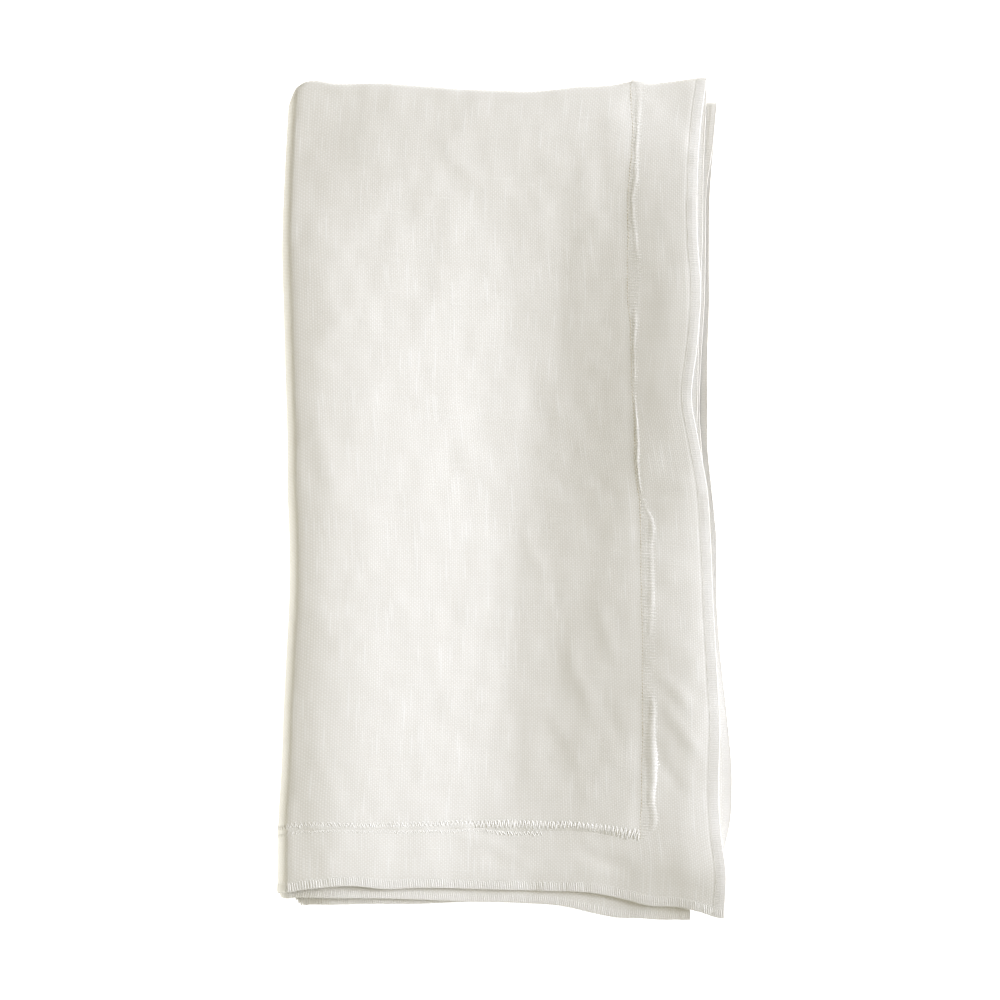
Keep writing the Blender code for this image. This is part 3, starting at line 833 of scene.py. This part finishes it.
def linen_material():
    material = bpy.data.materials.new("linen_weave")
    n = Nodes(material)
    uv = n.add("ShaderNodeUVMap")
    uv.uv_map = "Weave"
    split = n.add("ShaderNodeSeparateXYZ", Vector=uv.outputs[0])
    x, y = split.outputs[0], split.outputs[1]
    # threads wander a little
    wander_x = n.noise(n.xyz(n.math("MULTIPLY", x, 260.0), n.math("MULTIPLY", y, 40.0)), 1.0, 2.0)
    wander_y = n.noise(n.xyz(n.math("MULTIPLY", x, 40.0), n.math("MULTIPLY", y, 300.0), 4.0), 1.0, 2.0)
    su = n.math("ADD", n.math("DIVIDE", x, WARP), n.math("MULTIPLY", wander_x, 1.3))
    sv = n.math("ADD", n.math("DIVIDE", y, WEFT), n.math("MULTIPLY", wander_y, 1.3))
    iu, iv = n.math("FLOOR", su), n.math("FLOOR", sv)
    fu = n.math("MULTIPLY", n.math("ABSOLUTE", n.math("SUBTRACT", n.math("FRACT", su), 0.5)), 2.0)
    fv = n.math("MULTIPLY", n.math("ABSOLUTE", n.math("SUBTRACT", n.math("FRACT", sv), 0.5)), 2.0)
    round_u = n.math("SUBTRACT", 1.0, n.math("MULTIPLY", fu, fu))
    round_v = n.math("SUBTRACT", 1.0, n.math("MULTIPLY", fv, fv))
    parity = n.math("PINGPONG", n.math("ADD", iu, iv), 1.0)          # 0 or 1
    warp_high = n.math("MULTIPLY", round_u, n.math("ADD", 0.55, n.math("MULTIPLY", round_v, 0.45)))
    weft_high = n.math("MULTIPLY", round_v, n.math("ADD", 0.55, n.math("MULTIPLY", round_u, 0.45)))
    height = n.math("ADD", n.math("MULTIPLY", warp_high, parity),
                    n.math("MULTIPLY", n.math("MULTIPLY", weft_high, n.math("SUBTRACT", 1.0, parity)), 0.6))
    # each thread has its own thickness, and long slubs
    warp_own = n.noise(n.xyz(n.math("MULTIPLY", iu, 7.31), n.math("MULTIPLY", y, 70.0), 1.0), 1.0, 1.0)
    weft_own = n.noise(n.xyz(n.math("MULTIPLY", x, 60.0), n.math("MULTIPLY", iv, 5.17), 2.0), 1.0, 1.0)
    warp_slub = n.ramp(n.noise(n.xyz(n.math("MULTIPLY", iu, 3.77), n.math("MULTIPLY", y, 75.0), 5.0), 1.0, 0.0), 0.63, 0.78)
    weft_slub = n.ramp(n.noise(n.xyz(n.math("MULTIPLY", x, 120.0), n.math("MULTIPLY", iv, 4.41), 6.0), 1.0, 0.0), 0.70, 0.84)
    threads = n.math("ADD", n.math("MULTIPLY", warp_own, 0.6), n.math("MULTIPLY", weft_own, 0.4))
    mottle = n.noise(n.xyz(n.math("MULTIPLY", x, 95.0), n.math("MULTIPLY", y, 60.0), 3.0), 1.0, 3.0, 0.6)
    # painted shade of the weave: the crowns of the threads lighter and the gaps between them darker, warp crowns more
    # than weft ones, on top of the bump; the checked pattern is the weave's own
    shown = n.math("ADD", n.math("MULTIPLY", n.math("MULTIPLY", warp_high, parity), 0.80),
                   n.math("MULTIPLY", n.math("MULTIPLY", weft_high, n.math("SUBTRACT", 1.0, parity)), 0.24))
    tone = n.math("ADD", shown, n.math("MULTIPLY", threads, 0.70))
    tone = n.math("ADD", tone, n.math("MULTIPLY", mottle, 0.34))
    tone = n.math("ADD", tone, n.math("MULTIPLY", warp_slub, 0.36))
    tone = n.math("ADD", tone, n.math("MULTIPLY", weft_slub, 0.10))
    # the hems under the top one get painted shade
    colour = painted_hem_shade(n, uv.outputs[0], n.mix(n.ramp(tone, 0.10, 1.42), DEEP_TONE_AND_GAP_SHADE, LIGHT))
    bump_height = n.math("ADD", height, n.math("MULTIPLY", threads, 1.4))
    bump_height = n.math("ADD", bump_height, n.math("MULTIPLY", n.math("ADD", warp_slub, weft_slub), 0.9))
    bump = n.add("ShaderNodeBump", Height=bump_height, Strength=0.34, Distance=0.00007)
    shader = n.add("ShaderNodeBsdfPrincipled", Normal=bump.outputs[0])
    n.put(shader.inputs["Base Color"], colour)
    rough = n.ramp(n.math("ADD", mottle, n.math("MULTIPLY", warp_slub, -0.3)), 0.2, 0.8, 0.97, 0.84)
    n.put(shader.inputs["Roughness"], rough)
    shader.inputs["Specular IOR Level"].default_value = 0.25
    shader.inputs["Sheen Weight"].default_value = 0.10
    shader.inputs["Sheen Roughness"].default_value = 0.6
    out = n.add("ShaderNodeOutputMaterial")
    n.put(out.inputs["Surface"], shader.outputs[0])
    return material


def thread_material():
    material = bpy.data.materials.new("overlock_thread")
    n = Nodes(material)
    coord = n.add("ShaderNodeTexCoord")
    uv = n.add("ShaderNodeUVMap")
    uv.uv_map = "Weave"
    split = n.add("ShaderNodeSeparateXYZ", Vector=coord.outputs["Object"])
    twist = n.math("ADD", n.math("ADD", split.outputs[0], split.outputs[1]), split.outputs[2])
    ply = n.math("SINE", n.math("MULTIPLY", twist, 2 * np.pi / 0.00030))
    fuzz = n.noise(coord.outputs["Object"], 2400.0, 2.0)
    big = n.noise(coord.outputs["Object"], 90.0, 2.0)
    tone = n.math("ADD", n.math("MULTIPLY", ply, 0.12), n.math("ADD", n.math("MULTIPLY", fuzz, 0.5), n.math("MULTIPLY", big, 0.5)))
    colour = n.mix(n.ramp(tone, 0.1, 0.9), (0.820, 0.802, 0.745, 1.0), (0.890, 0.878, 0.838, 1.0))
    # the hem threads under the top one get the same painted shade
    colour = painted_hem_shade(n, uv.outputs[0], colour)
    bump = n.add("ShaderNodeBump", Height=n.math("ADD", ply, fuzz), Strength=0.2, Distance=0.00003)
    shader = n.add("ShaderNodeBsdfPrincipled", Normal=bump.outputs[0])
    n.put(shader.inputs["Base Color"], colour)
    shader.inputs["Roughness"].default_value = 0.72
    shader.inputs["Specular IOR Level"].default_value = 0.3
    shader.inputs["Sheen Weight"].default_value = 0.12
    shader.inputs["Sheen Roughness"].default_value = 0.5
    out = n.add("ShaderNodeOutputMaterial")
    n.put(out.inputs["Surface"], shader.outputs[0])
    return material


def needle_line_shade_material():
    """The needle line: a thread deep between the stitches, coloured dark and warm as painted shade of the groove beside
    the tuck.
    """
    material = bpy.data.materials.new("needle_line_painted_shade")
    n = Nodes(material)
    coord = n.add("ShaderNodeTexCoord")
    along = n.noise(coord.outputs["Object"], 260.0, 2.0)
    shader = n.add("ShaderNodeBsdfPrincipled")
    n.put(shader.inputs["Base Color"], n.mix(n.ramp(along, 0.3, 0.7), (0.60, 0.54, 0.40, 1.0), (0.78, 0.74, 0.64, 1.0)))
    shader.inputs["Roughness"].default_value = 0.9
    shader.inputs["Specular IOR Level"].default_value = 0.1
    out = n.add("ShaderNodeOutputMaterial")
    n.put(out.inputs["Surface"], shader.outputs[0])
    return material


def floor_material():
    material = bpy.data.materials.new("pale_table")
    n = Nodes(material)
    coord = n.add("ShaderNodeTexCoord")
    grain = n.noise(coord.outputs["Object"], 30.0, 3.0)
    colour = n.mix(grain, (0.62, 0.62, 0.62, 1.0), (0.66, 0.66, 0.66, 1.0))
    shader = n.add("ShaderNodeBsdfPrincipled")
    n.put(shader.inputs["Base Color"], colour)
    shader.inputs["Roughness"].default_value = 0.9
    shader.inputs["Specular IOR Level"].default_value = 0.1
    shader.inputs["Emission Color"].default_value = (1.0, 1.0, 1.0, 1.0)
    shader.inputs["Emission Strength"].default_value = 1.03
    out = n.add("ShaderNodeOutputMaterial")
    n.put(out.inputs["Surface"], shader.outputs[0])
    return material


# ---------------------------------------------------------------- light, floor and camera
def area(name, place, target, wide, tall, power, colour):
    light = bpy.data.lights.new(name, "AREA")
    light.shape = "RECTANGLE"
    light.size, light.size_y = wide, tall
    light.energy = power
    light.color = colour
    obj = bpy.data.objects.new(name, light)
    obj.location = place
    obj.rotation_euler = (Vector(target) - Vector(place)).to_track_quat("-Z", "Y").to_euler()
    bpy.context.scene.collection.objects.link(obj)
    return obj


def stage():
    scene = bpy.context.scene
    scene.view_settings.view_transform = "Standard"
    world = bpy.data.worlds.new("studio")
    scene.world = world
    world.use_nodes = True
    back = world.node_tree.nodes["Background"]
    back.inputs["Color"].default_value = (1.0, 0.86, 0.52, 1.0)
    back.inputs["Strength"].default_value = 0.085
    area("key", (1.66, 0.445, 0.54), (0.0, 0.0, 0.01), 1.35, 0.85, 78.5, (0.86, 0.882, 0.975))
    area("rim", (-1.15, 0.10, 0.17), (0.0, 0.0, 0.01), 1.0, 0.2, 0.3, (1.0, 0.99, 0.97))
    area("left_fill", (-0.95, 0.10, 0.55), (0.0, 0.0, 0.01), 1.0, 0.5, 3.6, (0.98, 0.985, 1.0))
    area("over_fill", (-0.65, 0.10, 0.95), (0.0, 0.0, 0.01), 1.0, 0.6, 1.5, (1.0, 0.85, 0.42))
    area("foot_fill", (-0.70, -1.15, 0.24), (0.0, 0.0, 0.01), 0.9, 0.3, 6.0, (0.97, 1.0, 0.96))

    mesh = bpy.data.meshes.new("table")
    half, steps = 1.6, 4
    lines = np.linspace(-half, half, steps + 1)
    points = [(x, y, -0.0002) for y in lines for x in lines]
    faces = [(r * (steps + 1) + c, r * (steps + 1) + c + 1, (r + 1) * (steps + 1) + c + 1, (r + 1) * (steps + 1) + c)
             for r in range(steps) for c in range(steps)]
    mesh.from_pydata(points, [], faces)
    table = bpy.data.objects.new("table", mesh)
    scene.collection.objects.link(table)
    table.data.materials.append(floor_material())

    camera = bpy.data.cameras.new("camera")
    camera.sensor_width = camera.sensor_height = 36.0
    far = 1.25
    camera.lens = 36.0 * far / 0.3085
    camera.clip_start, camera.clip_end = 0.01, 20.0
    seen = bpy.data.objects.new("camera", camera)
    seen.location = (-0.00139, -0.00031, far + 0.010)
    seen.rotation_euler = (0.0, 0.0, 0.0)
    scene.collection.objects.link(seen)
    scene.camera = seen


# ---------------------------------------------------------------- put together
def main():
    linen, thread, seam = linen_material(), thread_material(), needle_line_shade_material()
    cloth = make_cloth()
    cloth.data.materials.append(linen)
    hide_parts("folded_napkin")
    pieces = [cloth]
    trim = []
    for k, edge in enumerate(("right", "left", "foot", "head")):
        trim.append(hem_side(f"overlock_{edge}", edge, 31 + k))
        trim.append(chain_line(f"needle_thread_{edge}", edge, 51 + k))
    tucks = make_tucks()
    for piece in trim:
        piece.data.materials.append(thread)
    for piece in tucks:
        # the needle line gets the dark material that paints the groove's shade
        kind = seam if "seam" in piece.name else thread if "thread" in piece.name else linen
        piece.data.materials.append(kind)
    everything = pieces + trim + tucks
    for piece in everything:
        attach(piece, "root")
    stage()


main()
